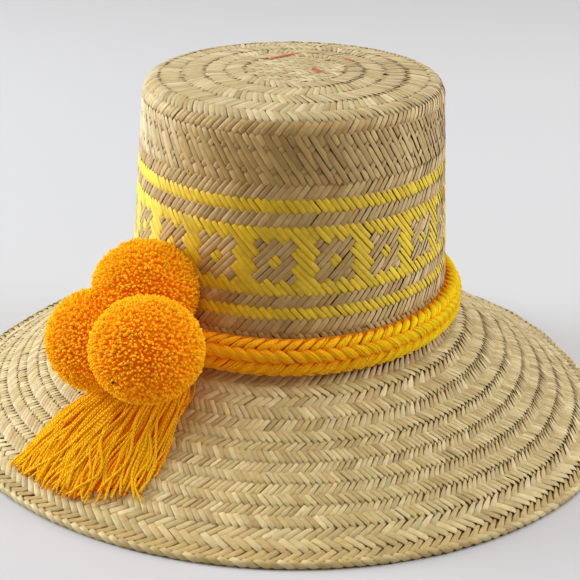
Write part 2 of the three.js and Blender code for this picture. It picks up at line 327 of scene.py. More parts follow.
    # painted shade along each strip's lower edge and a painted highlight along its upper edge
    low_edge_shade = (rim - 0.26 * open_)[:, None]
    edge_dark = np.where(kap[None] < -0.9, low_edge_shade, np.where(kap[None] > 0.9, 1.04, 1.0))
    c = np.empty(U.shape + (4,))
    c[..., :3] = colour[:, None, None, :] * (shade[..., None] * edge_dark[:, None])[..., None] ** BROWNER
    c[..., 3] = rng.random(n)[:, None, None]
    heap.grid(P if side * sign < 0 else P[:, :, ::-1], np.stack([uvx, uvy], -1) if side * sign < 0
              else np.stack([uvx, uvy], -1)[:, :, ::-1], c if side * sign < 0 else c[:, :, ::-1], flat=not low)


BROWNER = np.array([1.0, 1.25, 1.6])         # shaded straw turns brown
NATURAL = np.array([0.585, 0.448, 0.192])
PALE = np.array([0.790, 0.670, 0.385])
TAN = np.array([0.430, 0.285, 0.104])
GREEN = np.array([0.520, 0.450, 0.170])
YELLOW = np.array([0.760, 0.525, 0.008])
YELLOW2 = np.array([0.570, 0.370, 0.010])


def straw_colours(n, kind, hue=1.0):
    """kind 0 natural, 1 yellow, 2 pale, 3 darker natural"""
    kind = np.broadcast_to(kind, n)
    r = rng.random(n)[:, None]
    q = rng.random(n)[:, None]
    nat = NATURAL * (1 - r ** 1.3) + PALE * r ** 1.3
    nat = np.where(q < 0.16, nat * 0.55 + TAN * 0.45, nat)
    nat = np.where(q > 0.88, nat * 0.6 + GREEN * 0.4, nat)
    yel = YELLOW * (1 - r * 0.55) + YELLOW2 * r * 0.55
    drk = NATURAL * 0.75 + TAN * 0.25
    out = np.where((kind == 2)[:, None], PALE * (0.9 + 0.14 * r), nat)
    out = np.where((kind == 3)[:, None], drk * (0.9 + 0.25 * r), out)
    out = np.where((kind == 1)[:, None], yel, out * hue)
    return out * (0.90 + 0.20 * rng.random(n)[:, None])


def runs(over, tint, first):
    """over (levels, count) True where the right-going strand lies on top, tint per crossing.
    Gives two lists of (strand, k0, k1, tint), right-going and left-going."""
    levels, count = over.shape
    res = {1: [], -1: []}
    for sign in (1, -1):
        for s in range(count):
            k = 0
            while k < levels:
                a = s if sign > 0 else (s - k - first) % count
                if over[k, a] != (sign > 0):
                    k += 1
                    continue
                j, c = k, tint[k, a]
                while j + 1 < levels:
                    a2 = s if sign > 0 else (s - (j + 1) - first) % count
                    if over[j + 1, a2] != (sign > 0) or tint[j + 1, a2] != c:
                        break
                    j += 1
                res[sign].append((s, k + first, j + first, c))
                k = j + 1
    return {k: np.array(v, float).reshape(-1, 4) for k, v in res.items()}


def lay(heap, table, count, V, M, side=1, low=False, segs_per=1.6, right=None, left=None, hue=1.0,
        **both):
    """right and left hold values for the strips that run that way down."""
    for sign in (1, -1):
        kw = dict(both, **((right if sign > 0 else left) or {}))
        tone = kw.pop("hue", hue)
        rows = table[sign]
        if len(rows) == 0:
            continue
        length = (rows[:, 2] - rows[:, 1] + 1).astype(int)
        for n in np.unique(length):
            r = rows[length == n]
            segs = max(4, int(round((n + 1) * segs_per))) if not low else max(3, int(round((n + 1) * 0.8)))
            floats(heap, sign, r[:, 0], r[:, 1], r[:, 2], count, V, M, straw_colours(len(r), r[:, 3], tone),
                   segs, side=side, low=low, **kw)


# ---- crown side: 152 strands each way, 56 levels
COUNT = 152
SHIFT = -0.19            # of a strand, so that the pattern's squares lie where the hat has them
SIDE_ROWS = [  # (kind, levels, lower edge z)
    ("/", 3, 178.4), ("long", 9, 153.9), ("/", 3, 146.9), ("y", 3, 140.3), ("/", 3, 133.15),
    ("motif", 17, 98.4), ("/", 3, 92.1), ("y", 3, 86.25), ("/", 3, 78.65), ("\\", 3, 71.6),
    ("/", 3, 64.6), ("\\", 3, None)]
LEVELS = sum(row[1] for row in SIDE_ROWS)
SIDE_TOP_ARC = 5.6       # mm of the shoulder's arc that the first row covers

# the pattern, charted from the hat: a repeat of 8 strands by 17 levels. Every crossing shows
# the yellow strand, which runs right-down, but for these bars of plain strand, which runs
# left-down: (first plain strand, last), (first yellow strand crossed, last)
MOTIF_BARS = [((12, 13), (4, 9)), ((14, 15), (8, 11)), ((14, 15), (2, 5)), ((16, 17), (4, 9)),
              ((10, 11), (6, 7)), ((18, 19), (6, 7))]


def plain_here(a, b):
    for (b0, b1), (a0, a1) in MOTIF_BARS:
        for n in range(-6, 7):
            if b0 <= b - 8 * n <= b1 and a0 <= a - 8 * n <= a1:
                return True
    return False


MOTIF = [[plain_here(a, a + j) for a in range(8)] for j in range(17)]


def side_tables():
    over = np.zeros((LEVELS, COUNT), bool)
    tint = np.zeros((LEVELS, COUNT), int)
    bounds_v, bounds_m = [-0.5], [float(m_of_z(TOP_Z - SHOULDER)) - SIDE_TOP_ARC]
    strand = np.arange(COUNT)
    k = 0
    for kind, n, zlow in SIDE_ROWS:
        rows = slice(k, k + n)
        if kind in ("\\", "y"):
            over[rows] = True
            tint[rows] = 1 if kind == "y" else 0
        elif kind == "long":
            for j in range(n):
                over[k + j] = ~(((strand % 2 == 0) & (j == 6)) | ((strand % 2 == 1) & (j == 2)))
        elif kind == "motif":
            for j in range(n):
                bare = np.array([MOTIF[j][(a + 10) % 8] for a in strand])
                over[k + j] = ~bare
                tint[k + j] = ~bare
        k += n
        bounds_v.append(k - 0.5)
        bounds_m.append(float(m_of_z(zlow)) if zlow is not None else float(m_of_t(0.011)))
    return over, tint, bounds_v, bounds_m


over, tint, BV, BM = side_tables()
RINGS_T = [0.011, 0.062, 0.119, 0.180, 0.243, 0.314, 0.368, 0.416, 0.477, 0.530, 0.587, 0.644,
           0.698, 0.753, 0.813, 0.867, 0.925]
M_END = float(PM[-1])
M_RIM = float(PM[-14])
# levels above the first row and below the last are needed where strips dive
V1 = np.array([BV[0] - 3] + BV)
M1 = np.array([BM[0] - 13.0] + BM)
# brim rings 1..5 go on with the same strands
k = LEVELS
V1 = list(V1); M1 = list(M1)
for t in RINGS_T[1:6]:
    k += 3
    V1.append(k - 0.5)
    M1.append(float(m_of_t(t)))
V1.append(k + 2.5); M1.append(float(m_of_t(0.368)))
V1, M1 = np.array(V1), np.array(M1)

crown = Heap()
# The crown side's straw is tinted darker and browner than the same straw on the brim: painted shade of the upright
# wall, which the lamps light less. Its straw is also painted paler at the sides and on the left of the upper rows:
# painted light of the side lamps.
lay(crown, runs(over, tint, 0), COUNT, V1, M1, segs_per=1.5, phase=SHIFT, fill=1.03,
    taper=(0.46, 0.34), dark=0.42, calm=0.62, slim=0.06, wob=0.8,
    bleach=(0.20, 0.28, 0.56), hue=np.array([0.71, 0.585, 0.40]), fair=(-1, 12, (0.16, 0.34, 0.74)),
    flatter=0.62)

for v_at in (11.5, 46.5):
    some = np.flatnonzero(rng.random(COUNT) < 0.62).astype(float)
    some += 0.25 * rng.standard_normal(len(some)) - v_at / 2
    floats(crown, 1, some, np.full(len(some), v_at), np.full(len(some), v_at), COUNT, V1, M1,
           straw_colours(len(some), 1) * 0.92, 4, over=-0.12, rise=0.62, dive=0.1, most=1.3)

# ---- brim: rings 1..3 go on with the crown's strands, further out there are more of them
brim = Heap()
under = Heap()               # inside of the crown and underside of the brim
# Brim straw is painted a touch paler at the sides: painted light of the side lamps. RIDGE and GROOVE also set how dark
# the painted shade is at strip ends and along their lower edges.
BRIM_LOOK = dict(bleach=(0.0, 0.01, 0.08), hue=np.array([0.88, 0.865, 0.77]))
RIDGE = dict(BRIM_LOOK, raised=0.34, ragged=0.13, fill=1.07, dark=0.92, rim=1.15, calm=0.5, wob=0.6)
GROOVE = dict(BRIM_LOOK, raised=-0.05, ragged=0.08, fill=1.03, taper=(0.80, 0.0), dark=0.45, rim=0.86, calm=0.80, reach=2.7,
              wob=0.8)
o5 = np.zeros((9, COUNT), bool)
o5[3:6] = True
lay(brim, runs(o5, np.zeros((9, COUNT), int), LEVELS), COUNT, V1, M1, segs_per=1.5, most=4.2, phase=SHIFT,
    right=RIDGE, left=GROOVE)
RING_M = [float(m_of_t(t)) for t in RINGS_T] + [M_RIM - 0.6, M_END - 1.2]
for first, last, count2 in ((4, 7, 232), (8, 14, 312), (15, 18, 216)):
    rings = last - first + 1
    V2 = [3.0 * q - 0.5 for q in range(-1, rings + 1)]
    M2 = RING_M[first - 2:last + 1]
    V2, M2 = (V2 + [V2[-1] + 3], M2 + [RING_M[last + 1]]) if last < 18 else (V2 + [V2[-1] + 1], M2 + [M_END])
    o6 = np.zeros((3 * rings, count2), bool)
    t6 = np.zeros((3 * rings, count2), int)
    for r in range(rings):
        o6[3 * r:3 * r + 3] = (first + r) % 2 == 0
        if first + r == 17:
            t6[3 * r:3 * r + 3] = 3
    lay(brim, runs(o6, t6, 0), count2, np.array(V2), np.array(M2), segs_per=1.25, most=3.9,
        right=RIDGE, left=GROOVE)
    if last == 18:                       # the folded edge has no underside of its own
        o6, t6 = o6[:-3], t6[:-3]
    lay(under, runs(~o6, t6 * 0, 0), count2, np.array(V2), np.array(M2), side=-1, low=True, most=3.1)

# ---- crown top: rings of plait, then a straight plait in the middle
top = Heap()
TOP_RINGS = [(71.9, 150, True), (60.0, 138, False), (48.4, 114, True), (36.7, 90, False), (27.4, 72, True)]
m_outer = BM[0]
for i, (r_in, count, right) in enumerate(TOP_RINGS):
    m_in = float(m_of_r(r_in))
    span = m_outer - m_in
    V = np.array([-3.5, -0.5, 2.5, 5.5])
    M = np.array([m_in - span * 0.8, m_in, m_outer, m_outer + span])
    n = count
    o = np.full((3, n), right, bool)
    lay(top, runs(o, np.zeros((3, n), int), 0), n, V, M, segs_per=1.7, over=0.56, ragged=0.20, wob=0.6, dive=-0.12,
        taper=(0.46, 0.56) if right else (0.66, 0.46), fill=1.04, rim=0.92 if right else 0.80,
        dark=0.64, calm=0.45, raised=0.2 if right else -0.05, hue=np.array([0.80, 0.79, 0.77]))
    m_outer = m_in
    # brown dashes where two rings meet, fewer at the front: partly the browner cut tips of straw that stick out there,
    # partly painted shadow of the notches between the rings
    before = rng.bit_generator.state
    tips = np.arange(0, n, 1.6) + 0.5
    tips += 0.25 * rng.standard_normal(len(tips))
    side_way = np.abs((tips / n + 0.5) % 1.0 - 0.5)
    tips = tips[rng.random(len(tips)) < 0.22 + 0.70 * smooth01((side_way - 0.03) / 0.12)]
    at = np.full(len(tips), -0.5) + 0.12 * rng.standard_normal(len(tips))
    brown = np.array([0.215, 0.115, 0.040]) * (0.75 + 0.6 * rng.random(len(tips)))[:, None]
    floats(top, 1 if right else -1, tips, at, at, n, V, M, brown, 4, over=0.10, rise=0.62, dive=0.1, most=0.72)
    rng.bit_generator.state = before


def straight_plait(heap, radius, pitch):
    """A twill of straight strips that fills the middle of the top."""
    nx = int(radius * 2.2 / pitch)
    for sign in (1, -1):
        for i in range(-nx, nx + 1):
            j = -nx
            while j < nx:
                phase = (i - j) % 6 if sign > 0 else (i - j + 1) % 6
                if phase != 0:
                    j += 1
                    continue
                n = 3
                t0, t1 = j - 0.5 - 0.4, j + n - 0.5 + 0.4
                tau = np.linspace(0, 1, 6)
                along = (t0 + (t1 - t0) * tau) * pitch
                cross = i * pitch
                kap = ACROSS
                w = pitch * 0.95 / 2
                A = along[:, None] + 0 * kap[None]
                B = cross + kap[None] * w + 0 * along[:, None] + 0.08 * rng.standard_normal()
                if sign > 0:
                    X, Y = (A + B) / math.sqrt(2), (A - B) / math.sqrt(2)
                else:
                    X, Y = (B + A) / math.sqrt(2), (B - A) / math.sqrt(2)
                rad = np.hypot(X, Y / RATIO)
                if rad.mean() > radius:
                    j += 6
                    continue
                edge = smooth01(tau / 0.22) * smooth01((1 - tau) / 0.22)
                h = -0.5 + 1.05 * edge
                z = TOP_Z + DOME * (1 - (rad / (WT - SHOULDER)) ** 2) + h[:, None] + ROUND[None]
                P = np.stack([X + CROWN_X - MID_X, Y + CROWN_Y - MID_Y, z], -1) * MM
                c = np.empty(P.shape[:2] + (4,))
                # painted shade: each strip darkens towards its ends, where it dives under the crossing strips
                c[..., :3] = straw_colours(1, 0, 0.80)[0] * (0.8 + 0.2 * edge)[:, None, None]
                c[..., 3] = rng.random()
                uv = np.stack([np.broadcast_to((kap + 1) / 2 + rng.integers(0, 997), X.shape),
                               np.broadcast_to((tau * 9 + rng.random() * 300)[:, None], X.shape)], -1)
                heap.grid(P[None], uv[None], c[None], flat=True)
                j += 6


straight_plait(top, 28.5, 3.1)

# three short red strips worked into the top: ends in mm from the middle of the rim, width
RED_STRIPS = [((-15.1, 15.1), (-0.9, 41.1), 2.6), ((13.0, 1.6), (18.7, -8.8), 2.8), ((25.6, 32.7), (29.6, 28.5), 2.6)]
for (xa, ya), (xb, yb), wide in RED_STRIPS:
    tau = np.linspace(0, 1, 13)
    dx, dy = xb - xa, yb - ya
    ln = math.hypot(dx, dy)
    half = wide / 2 * (1 - 0.45 * np.abs(2 * tau - 1) ** 3)
    X = xa + dx * tau[:, None] - dy / ln * half[:, None] * ACROSS[None]
    Y = ya + dy * tau[:, None] + dx / ln * half[:, None] * ACROSS[None]
    rad = np.hypot(X + MID_X - CROWN_X, (Y + MID_Y - CROWN_Y) / RATIO)
    z = TOP_Z + DOME * (1 - (rad / (WT - SHOULDER)) ** 2) + (1.15 - 0.9 * np.abs(2 * tau - 1) ** 6)[:, None] + ROUND[None]
    c = np.empty(X.shape + (4,))
    c[..., :3] = np.array([0.520, 0.085, 0.040])
    c[..., 3] = 0.5
    top.grid((np.stack([X, Y, z], -1) * MM)[None],
             np.stack([np.broadcast_to((ACROSS + 1) / 2, X.shape), np.broadcast_to(tau[:, None] * ln, X.shape)], -1)[None], c[None])

# ---- inside of the crown
lay(under, runs(~over, tint, 0), COUNT, V1, M1, side=-1, low=True, phase=SHIFT)
lay(under, runs(~o5, np.zeros((9, COUNT), int), LEVELS), COUNT, V1, M1, side=-1, low=True, most=3.6, phase=SHIFT)
m_outer = BM[0]
for i, (r_in, count, right) in enumerate(TOP_RINGS):
    m_in = float(m_of_r(r_in))
    span = m_outer - m_in
    V = np.array([-3.5, -0.5, 2.5, 5.5])
    M = np.array([m_in - span * 0.8, m_in, m_outer, m_outer + span])
    o = np.full((3, count), not right, bool)
    lay(under, runs(o, np.zeros((3, count), int), 0), count, V, M, side=-1, low=True)
    m_outer = m_in


# ---- the wall itself, seen only in the gaps
def core():
    n = 112
    u = (np.arange(n) / n - 0.5)
    mo = np.r_[np.linspace(0.3, PM[-14], 90), PM[-13:-2]]
    mi = np.r_[np.linspace(PM[-14] - 3.0, 0.3, 80)]
    U, M = np.meshgrid(u, mo)
    A = on_hat(U, M, -0.62)
    U, M = np.meshgrid(u, mi)
    B = on_hat(U, M, -1.45)
    P = np.concatenate([A, B, A[:1]])
    idx = np.arange(P.shape[0] * n).reshape(-1, n)
    idx[-1] = idx[0]
    nxt = np.roll(idx, -1, 1)
    f = np.stack([idx[:-1], nxt[:-1], nxt[1:], idx[1:]], -1).reshape(-1, 4)
    v = P.reshape(-1, 3)[: (P.shape[0] - 1) * n]
    return v, f


# ---------------------------------------------------------------- materials
def nodes_of(name):
    mat = bpy.data.materials.new(name)
    mat.use_nodes = True
    nt = mat.node_tree
    for nd in list(nt.nodes):
        nt.nodes.remove(nd)
    out = nt.nodes.new("ShaderNodeOutputMaterial")
    bsdf = nt.nodes.new("ShaderNodeBsdfPrincipled")
    nt.links.new(bsdf.outputs["BSDF"], out.inputs["Surface"])
    return mat, nt, bsdf


def node(nt, kind, **props):
    nd = nt.nodes.new(kind)
    for key, value in props.items():
        if key in nd.inputs and not hasattr(nd, key):
            nd.inputs[key].default_value = value
        else:
            setattr(nd, key, value)
    return nd


def straw_material(name, gain=1.0, gloss=0.37):
    mat, nt, bsdf = nodes_of(name)
    L = nt.links.new
    att = node(nt, "ShaderNodeVertexColor", layer_name="Col")
    uv = node(nt, "ShaderNodeUVMap", uv_map="UVMap")
    mp = node(nt, "ShaderNodeMapping")
    mp.inputs["Scale"].default_value = (9.0, 0.16, 1.0)
    L(uv.outputs["UV"], mp.inputs["Vector"])
    fib = node(nt, "ShaderNodeTexNoise")
    fib.inputs["Scale"].default_value = 1.6
    fib.inputs["Detail"].default_value = 4.0
    fib.inputs["Roughness"].default_value = 0.65
    L(mp.outputs["Vector"], fib.inputs["Vector"])
    mp2 = node(nt, "ShaderNodeMapping")
    mp2.inputs["Scale"].default_value = (0.7, 0.22, 1.0)
    L(uv.outputs["UV"], mp2.inputs["Vector"])
    blot = node(nt, "ShaderNodeTexNoise")
    blot.inputs["Scale"].default_value = 1.3
    blot.inputs["Detail"].default_value = 2.0
    L(mp2.outputs["Vector"], blot.inputs["Vector"])
    r1 = node(nt, "ShaderNodeMapRange")
    r1.inputs["From Min"].default_value = 0.28
    r1.inputs["From Max"].default_value = 0.72
    r1.inputs["To Min"].default_value = 0.80 * gain
    r1.inputs["To Max"].default_value = 1.16 * gain
    L(fib.outputs["Fac"], r1.inputs["Value"])
    r2 = node(nt, "ShaderNodeMapRange")
    r2.inputs["From Min"].default_value = 0.3
    r2.inputs["From Max"].default_value = 0.7
    r2.inputs["To Min"].default_value = 0.88
    r2.inputs["To Max"].default_value = 1.10
    L(blot.outputs["Fac"], r2.inputs["Value"])
    mul = node(nt, "ShaderNodeMath", operation="MULTIPLY")
    L(r1.outputs["Result"], mul.inputs[0])
    L(r2.outputs["Result"], mul.inputs[1])
    sc = node(nt, "ShaderNodeVectorMath", operation="SCALE")
    L(att.outputs["Color"], sc.inputs[0])
    L(mul.outputs["Value"], sc.inputs["Scale"])
    L(sc.outputs["Vector"], bsdf.inputs["Base Color"])
    rr = node(nt, "ShaderNodeMapRange")
    rr.inputs["To Min"].default_value = gloss
    rr.inputs["To Max"].default_value = gloss + 0.22
    L(fib.outputs["Fac"], rr.inputs["Value"])
    L(rr.outputs["Result"], bsdf.inputs["Roughness"])
    bump = node(nt, "ShaderNodeBump")
    bump.inputs["Strength"].default_value = 0.55
    bump.inputs["Distance"].default_value = 0.00022
    L(fib.outputs["Fac"], bump.inputs["Height"])
    L(bump.outputs["Normal"], bsdf.inputs["Normal"])
    bsdf.inputs["Specular IOR Level"].default_value = 0.50
    bsdf.inputs["Sheen Weight"].default_value = 0.05
    bsdf.inputs["Sheen Roughness"].default_value = 0.4
    return mat


def core_material():
    mat, nt, bsdf = nodes_of("straw_in_the_gaps_painted_shade")
    L = nt.links.new
    tc = node(nt, "ShaderNodeTexCoord")
    no = node(nt, "ShaderNodeTexNoise")
    no.inputs["Scale"].default_value = 600.0
    no.inputs["Detail"].default_value = 3.0
    L(tc.outputs["Object"], no.inputs["Vector"])
    # The straw seen in the gaps is painted dark brown: painted shade in the gaps between strips.
    ramp = node(nt, "ShaderNodeValToRGB")
    ramp.color_ramp.elements[0].color = (0.150, 0.066, 0.020, 1)
    ramp.color_ramp.elements[1].color = (0.400, 0.200, 0.070, 1)
    L(no.outputs["Fac"], ramp.inputs["Fac"])
    sep = node(nt, "ShaderNodeSeparateXYZ")
    L(tc.outputs["Object"], sep.inputs["Vector"])
    high = node(nt, "ShaderNodeMapRange")                # painted shade: darker in the crown, where the gaps look into the hat's dark inside, than in the brim
    high.inputs["From Min"].default_value = 0.054
    high.inputs["From Max"].default_value = 0.066
    high.inputs["To Min"].default_value = 1.0
    high.inputs["To Max"].default_value = 0.20
    L(sep.outputs["Z"], high.inputs["Value"])
    sc = node(nt, "ShaderNodeVectorMath", operation="SCALE")
    L(ramp.outputs["Color"], sc.inputs[0])
    L(high.outputs["Result"], sc.inputs["Scale"])
    L(sc.outputs["Vector"], bsdf.inputs["Base Color"])
    bsdf.inputs["Roughness"].default_value = 0.85
    return mat


def yarn_material(name, twist=0.0, gain=1.0, glow=0.04):
    """Col carries the colour; UV x round the yarn, y along it in mm."""
    mat, nt, bsdf = nodes_of(name)
    L = nt.links.new
    att = node(nt, "ShaderNodeVertexColor", layer_name="Col")
    uv = node(nt, "ShaderNodeUVMap", uv_map="UVMap")
    mp = node(nt, "ShaderNodeMapping")
    mp.inputs["Scale"].default_value = (5.0, 0.9, 1.0)
    mp.inputs["Rotation"].default_value = (0, 0, 0.5)
    L(uv.outputs["UV"], mp.inputs["Vector"])
    no = node(nt, "ShaderNodeTexNoise")
    no.inputs["Scale"].default_value = 2.2
    no.inputs["Detail"].default_value = 3.0
    L(mp.outputs["Vector"], no.inputs["Vector"])
    sep = node(nt, "ShaderNodeSeparateXYZ")
    L(uv.outputs["UV"], sep.inputs["Vector"])
    a = node(nt, "ShaderNodeMath", operation="MULTIPLY")
    a.inputs[1].default_value = 2.0
    L(sep.outputs["X"], a.inputs[0])
    b = node(nt, "ShaderNodeMath", operation="MULTIPLY_ADD")
    b.inputs[1].default_value = 0.55
    L(sep.outputs["Y"], b.inputs[0])
    L(a.outputs["Value"], b.inputs[2])
    c = node(nt, "ShaderNodeMath", operation="MULTIPLY")
    c.inputs[1].default_value = 2 * math.pi
    L(b.outputs["Value"], c.inputs[0])
    s = node(nt, "ShaderNodeMath", operation="SINE")
    L(c.outputs["Value"], s.inputs[0])
    # painted shade in the twist's grooves: the colour darkens along the twist's stripes
    r = node(nt, "ShaderNodeMapRange")
    r.inputs["From Min"].default_value = -1.0
    r.inputs["From Max"].default_value = 1.0
    r.inputs["To Min"].default_value = gain * (1 - 0.30 * twist)
    r.inputs["To Max"].default_value = gain * (1 + 0.08 * twist)
    L(s.outputs["Value"], r.inputs["Value"])
    r2 = node(nt, "ShaderNodeMapRange")
    r2.inputs["From Min"].default_value = 0.3
    r2.inputs["From Max"].default_value = 0.7
    r2.inputs["To Min"].default_value = 0.86
    r2.inputs["To Max"].default_value = 1.12
    L(no.outputs["Fac"], r2.inputs["Value"])
    mul = node(nt, "ShaderNodeMath", operation="MULTIPLY")
    L(r.outputs["Result"], mul.inputs[0])
    L(r2.outputs["Result"], mul.inputs[1])
    soft = node(nt, "ShaderNodeMath", operation="POWER")     # red holds where the twist's painted shade and the random blotches darken the yarn
    soft.inputs[1].default_value = 0.25
    L(mul.outputs["Value"], soft.inputs[0])
    rgb = node(nt, "ShaderNodeCombineXYZ")
    L(soft.outputs["Value"], rgb.inputs["X"])
    L(mul.outputs["Value"], rgb.inputs["Y"])
    L(mul.outputs["Value"], rgb.inputs["Z"])
    sc = node(nt, "ShaderNodeVectorMath", operation="MULTIPLY")
    L(att.outputs["Color"], sc.inputs[0])
    L(rgb.outputs["Vector"], sc.inputs[1])
    L(sc.outputs["Vector"], bsdf.inputs["Base Color"])
    bsdf.inputs["Roughness"].default_value = 0.9
    bsdf.inputs["Specular IOR Level"].default_value = 0.06
    bsdf.inputs["Sheen Weight"].default_value = 0.65
    bsdf.inputs["Sheen Roughness"].default_value = 0.5
    bsdf.inputs["Sheen Tint"].default_value = (1.0, 0.66, 0.06, 1)
    painted_glow = node(nt, "ShaderNodeVectorMath", operation="MULTIPLY")           # painted glow: faint emission in a redder copy of the yarn's colour, lifting its shade as light scattered in the fibres would
    painted_glow.inputs[1].default_value = (1.04, 0.40, 0.0)
    L(att.outputs["Color"], painted_glow.inputs[0])
    L(painted_glow.outputs["Vector"], bsdf.inputs["Emission Color"])
    bsdf.inputs["Emission Strength"].default_value = glow
    add = node(nt, "ShaderNodeMath", operation="MULTIPLY_ADD")
    add.inputs[1].default_value = 0.6 * twist
    L(s.outputs["Value"], add.inputs[0])
    L(no.outputs["Fac"], add.inputs[2])
    bump = node(nt, "ShaderNodeBump")
    bump.inputs["Strength"].default_value = 0.6
    bump.inputs["Distance"].default_value = 0.0003
    L(add.outputs["Value"], bump.inputs["Height"])
    L(bump.outputs["Normal"], bsdf.inputs["Normal"])
    return mat


STRAW = straw_material("palm_straw")
CORE = core_material()
BAND_YARN = yarn_material("band_yarn", twist=0.5)
POM_YARN = yarn_material("pompom_yarn", twist=0.1, gain=1.06, glow=0.14)
TASSEL_YARN = yarn_material("tassel_yarn", twist=1.3, glow=0.10)


def add_piece(ob, node_name):
    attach(ob, "root")
    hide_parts(node_name)
    return ob


add_piece(crown.build("straw_crown_side", STRAW), "hat_body")
add_piece(brim.build("straw_brim", STRAW), "hat_body")
add_piece(top.build("straw_crown_top", STRAW), "hat_body")
add_piece(under.build("straw_inside", STRAW), "hat_body")
cv, cf = core()
add_piece(new_mesh("straw_wall", cv, cf, CORE), "hat_body")


# ---------------------------------------------------------------- yarn
def tubes(heap, P, R, sides, colour, uvlen=None, cap=True):
    """P (n, L, 3) metres, R (n, L) metres, colour (n, L, 3)."""
    n, Ln, _ = P.shape
    T = np.gradient(P, axis=1)
    T /= np.linalg.norm(T, axis=2)[..., None] + 1e-12
    ref = np.broadcast_to(np.array([0.31, 0.24, 0.92]), T.shape)
    A = np.cross(T, ref)
    A /= np.linalg.norm(A, axis=2)[..., None] + 1e-12
    B = np.cross(T, A)
    ph = np.arange(sides) / sides * 2 * np.pi
    V = P[:, :, None] + R[..., None, None] * (np.cos(ph)[None, None, :, None] * A[:, :, None]
                                              + np.sin(ph)[None, None, :, None] * B[:, :, None])
    seg = np.linalg.norm(np.diff(P, axis=1), axis=2) / MM
    s = np.concatenate([np.zeros((n, 1)), np.cumsum(seg, 1)], 1) + rng.random(n)[:, None] * 50
    uv = np.stack([np.broadcast_to((np.arange(sides) / sides)[None, None], V.shape[:3]),
                   np.broadcast_to(s[..., None], V.shape[:3])], -1)
    c = np.empty(V.shape[:3] + (4,))
    c[..., :3] = colour[:, :, None, :]
    c[..., 3] = 1.0
    heap.grid(V, uv, c, close=True)


# ---- band: a braid whose loops lie in chevrons
YARN_LOW, YARN_HIGH = BAND_LOW - 0.2, BAND_HIGH - 3.2      # the yarns' relief comes on top


def band_face(x, g, lift):
    """x share of the way round, g -1 lower edge .. 1 upper edge, lift mm."""
    z = (YARN_LOW + YARN_HIGH) / 2 + g * (YARN_HIGH - YARN_LOW) / 2
    gg = np.clip(np.abs(g), 0, 1)
    face = BAND_GAP + 0.2 + (BAND_THICK - 0.6) * (1 - gg ** 2.6) ** 0.5
    ang = np.arcsin(np.clip(g, -1, 1) * 0.95)
    out = lean(z) + face + lift * np.cos(ang)
    return place(azimuth(x, 0.0), out, z + lift * np.sin(ang))


# one yarn in a lit tone (BRIGHT) and a painted-shade tone (DEEP)
BRIGHT = np.array([0.950, 0.600, 0.009])
DEEP = np.array([0.960, 0.220, 0.002])
LOOPS = 96
BAND_ROWS = [(0.985, 0.50, -1.15, -1.0, 0.3, 0.66, 0.95), (0.62, -0.20, 1.45, -1.5, 0.6, 0.68, 0.0),
             (-0.80, 0.02, 1.45, -1.5, 0.35, 0.68, 0.35), (-0.62, -0.985, 0.80, -1.2, 0.0, 0.60, 0.35)]


